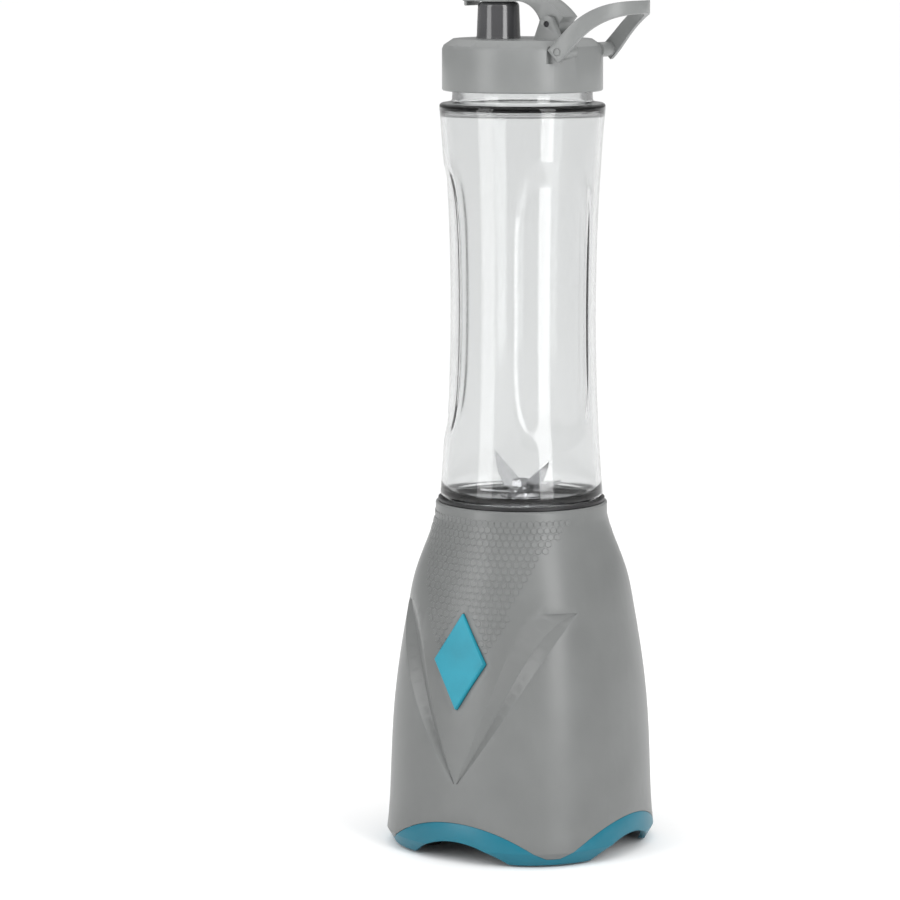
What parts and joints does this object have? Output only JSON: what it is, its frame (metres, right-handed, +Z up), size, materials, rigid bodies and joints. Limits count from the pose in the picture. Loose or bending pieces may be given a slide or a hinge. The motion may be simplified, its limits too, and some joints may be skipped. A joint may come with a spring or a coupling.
{
  "type": "countertop blender",
  "caption": "Personal countertop blender: motor base with a diamond push button, clear bottle with blades below, and drinking lid with flip cover and carry loop.",
  "frame": {"origin": "on the drive axis at the level of the surface that the rubber feet stand on", "axes": "+Z up along the drive axis, -Y to the front with the diamond button, +X to the side that the carry loop points to"},
  "size_m": [0.1226, 0.1206, 0.3943],
  "materials": {
    "housing_gray": "fine satin moulded plastic",
    "lid_gray": "satin moulded plastic",
    "skirt_teal": "satin moulded plastic",
    "button_teal": "lightly textured moulded plastic",
    "dark_plastic": "moulded plastic",
    "holder_black": "moulded plastic",
    "black_rubber": "moulded rubber",
    "gray_rubber": "soft moulded silicone",
    "plated_steel": "zinc plated",
    "stainless": "polished stainless steel",
    "cast_aluminium": "die cast",
    "lamination_steel": "stacked laminations, varnished",
    "copper_winding": "enamelled copper",
    "bronze": "sintered bronze",
    "carbon": "pressed carbon",
    "spout_gloss": "smoky gloss plastic",
    "clear_bottle": "clear copolyester"
  },
  "bodies": {
    "base": {"base_housing": "housing_gray", "base_skirt": "skirt_teal", "bottom_plate": "dark_plastic", "rubber_feet": "black_rubber", "bottom_screws": "plated_steel", "seat_cup": "dark_plastic", "seat_gasket": "black_rubber", "seat_screws": "plated_steel", "cord_inlet": "dark_plastic", "terminal_block": "dark_plastic", "micro_switch": "dark_plastic", "switch_bracket": "dark_plastic", "button_spring": "plated_steel", "upper_bracket": "cast_aluminium", "lower_bracket": "cast_aluminium", "stator_core": "lamination_steel", "field_coils": "copper_winding", "through_bolts": "plated_steel", "motor_dampers": "black_rubber", "motor_screws": "plated_steel", "shaft_bushings": "bronze", "brush_holders": "bronze", "carbon_brushes": "carbon", "brush_springs": "plated_steel"},
    "armature": {"motor_shaft": "plated_steel", "armature_core": "lamination_steel", "armature_windings": "copper_winding", "commutator": "copper_winding", "cooling_fan": "dark_plastic", "drive_coupling": "dark_plastic"},
    "button": {"power_button": "button_teal"},
    "plunger": {"switch_plunger": "dark_plastic"},
    "blade_base": {"blade_holder": "holder_black", "blade_plate": "stainless", "bearing_housing": "stainless", "bearing_nut": "plated_steel", "blade_bushings": "bronze", "shaft_seal": "black_rubber"},
    "blades": {"blade_shaft": "stainless", "lower_blade": "stainless", "upper_blade": "stainless", "blade_spacer": "stainless", "blade_nut": "stainless", "driven_coupling": "dark_plastic"},
    "bottle_seal": {"holder_gasket": "black_rubber"},
    "bottle_body": {"bottle": "clear_bottle"},
    "lid_seal": {"lid_gasket": "black_rubber"},
    "lid": {"lid_cap": "lid_gray", "spout": "spout_gloss", "hinge_pin": "plated_steel"},
    "cover": {"flip_cover": "lid_gray", "spout_plug": "gray_rubber"},
    "loop": {"carry_loop": "lid_gray"}
  },
  "joints": [
    {"name": "motor_spin", "type": "hinge", "parent": "base", "child": "armature", "pos_m": [0, 0, 0.066], "axis": [0, 0, 1], "continuous": true},
    {"name": "button_press", "type": "slide", "parent": "base", "child": "button", "axis": [0, 0.989, -0.1478], "range_m": [0, 0.003], "stiffness_N_per_m": 500, "springref_m": -0.001, "deforming": ["button_spring"]},
    {"name": "plunger_press", "type": "slide", "parent": "base", "child": "plunger", "axis": [0, 0.989, -0.1478], "range_m": [0, 0.003]},
    {"name": "bottle_lift", "type": "slide", "parent": "base", "child": "blade_base", "axis": [0, 0, 1], "range_m": [0, 0.09]},
    {"name": "blade_spin", "type": "hinge", "parent": "blade_base", "child": "blades", "pos_m": [0, 0, 0.15], "axis": [0, 0, 1], "continuous": true},
    {"name": "bottle_rise", "type": "slide", "parent": "blade_base", "child": "bottle_seal", "axis": [0, 0, 1], "range_m": [0, 0.00735]},
    {"name": "bottle_turn", "type": "hinge", "parent": "bottle_seal", "child": "bottle_body", "pos_m": [0, 0, 0.155], "axis": [0, 0, 1], "range_deg": [0, 110]},
    {"name": "lid_rise", "type": "slide", "parent": "bottle_body", "child": "lid_seal", "axis": [0, 0, 1], "range_m": [0, 0.00735]},
    {"name": "lid_turn", "type": "hinge", "parent": "lid_seal", "child": "lid", "pos_m": [0, 0, 0.36], "axis": [0, 0, 1], "range_deg": [0, 110]},
    {"name": "cover_hinge", "type": "hinge", "parent": "lid", "child": "cover", "pos_m": [0.018, 0, 0.379], "axis": [0, 1, 0], "range_deg": [0, 110]},
    {"name": "loop_hinge", "type": "hinge", "parent": "lid", "child": "loop", "pos_m": [0.0325, 0, 0.3672], "axis": [0, 1, 0], "range_deg": [-25, 85]}
  ],
  "couplings": [
    {"joint": "plunger_press", "follows": "button_press", "ratio": 1},
    {"joint": "blade_spin", "follows": "motor_spin", "ratio": 1},
    {"joint": "bottle_rise", "follows": "bottle_turn", "m_per_rad": 0.0038197},
    {"joint": "lid_rise", "follows": "lid_turn", "m_per_rad": 0.0038197}
  ]
}
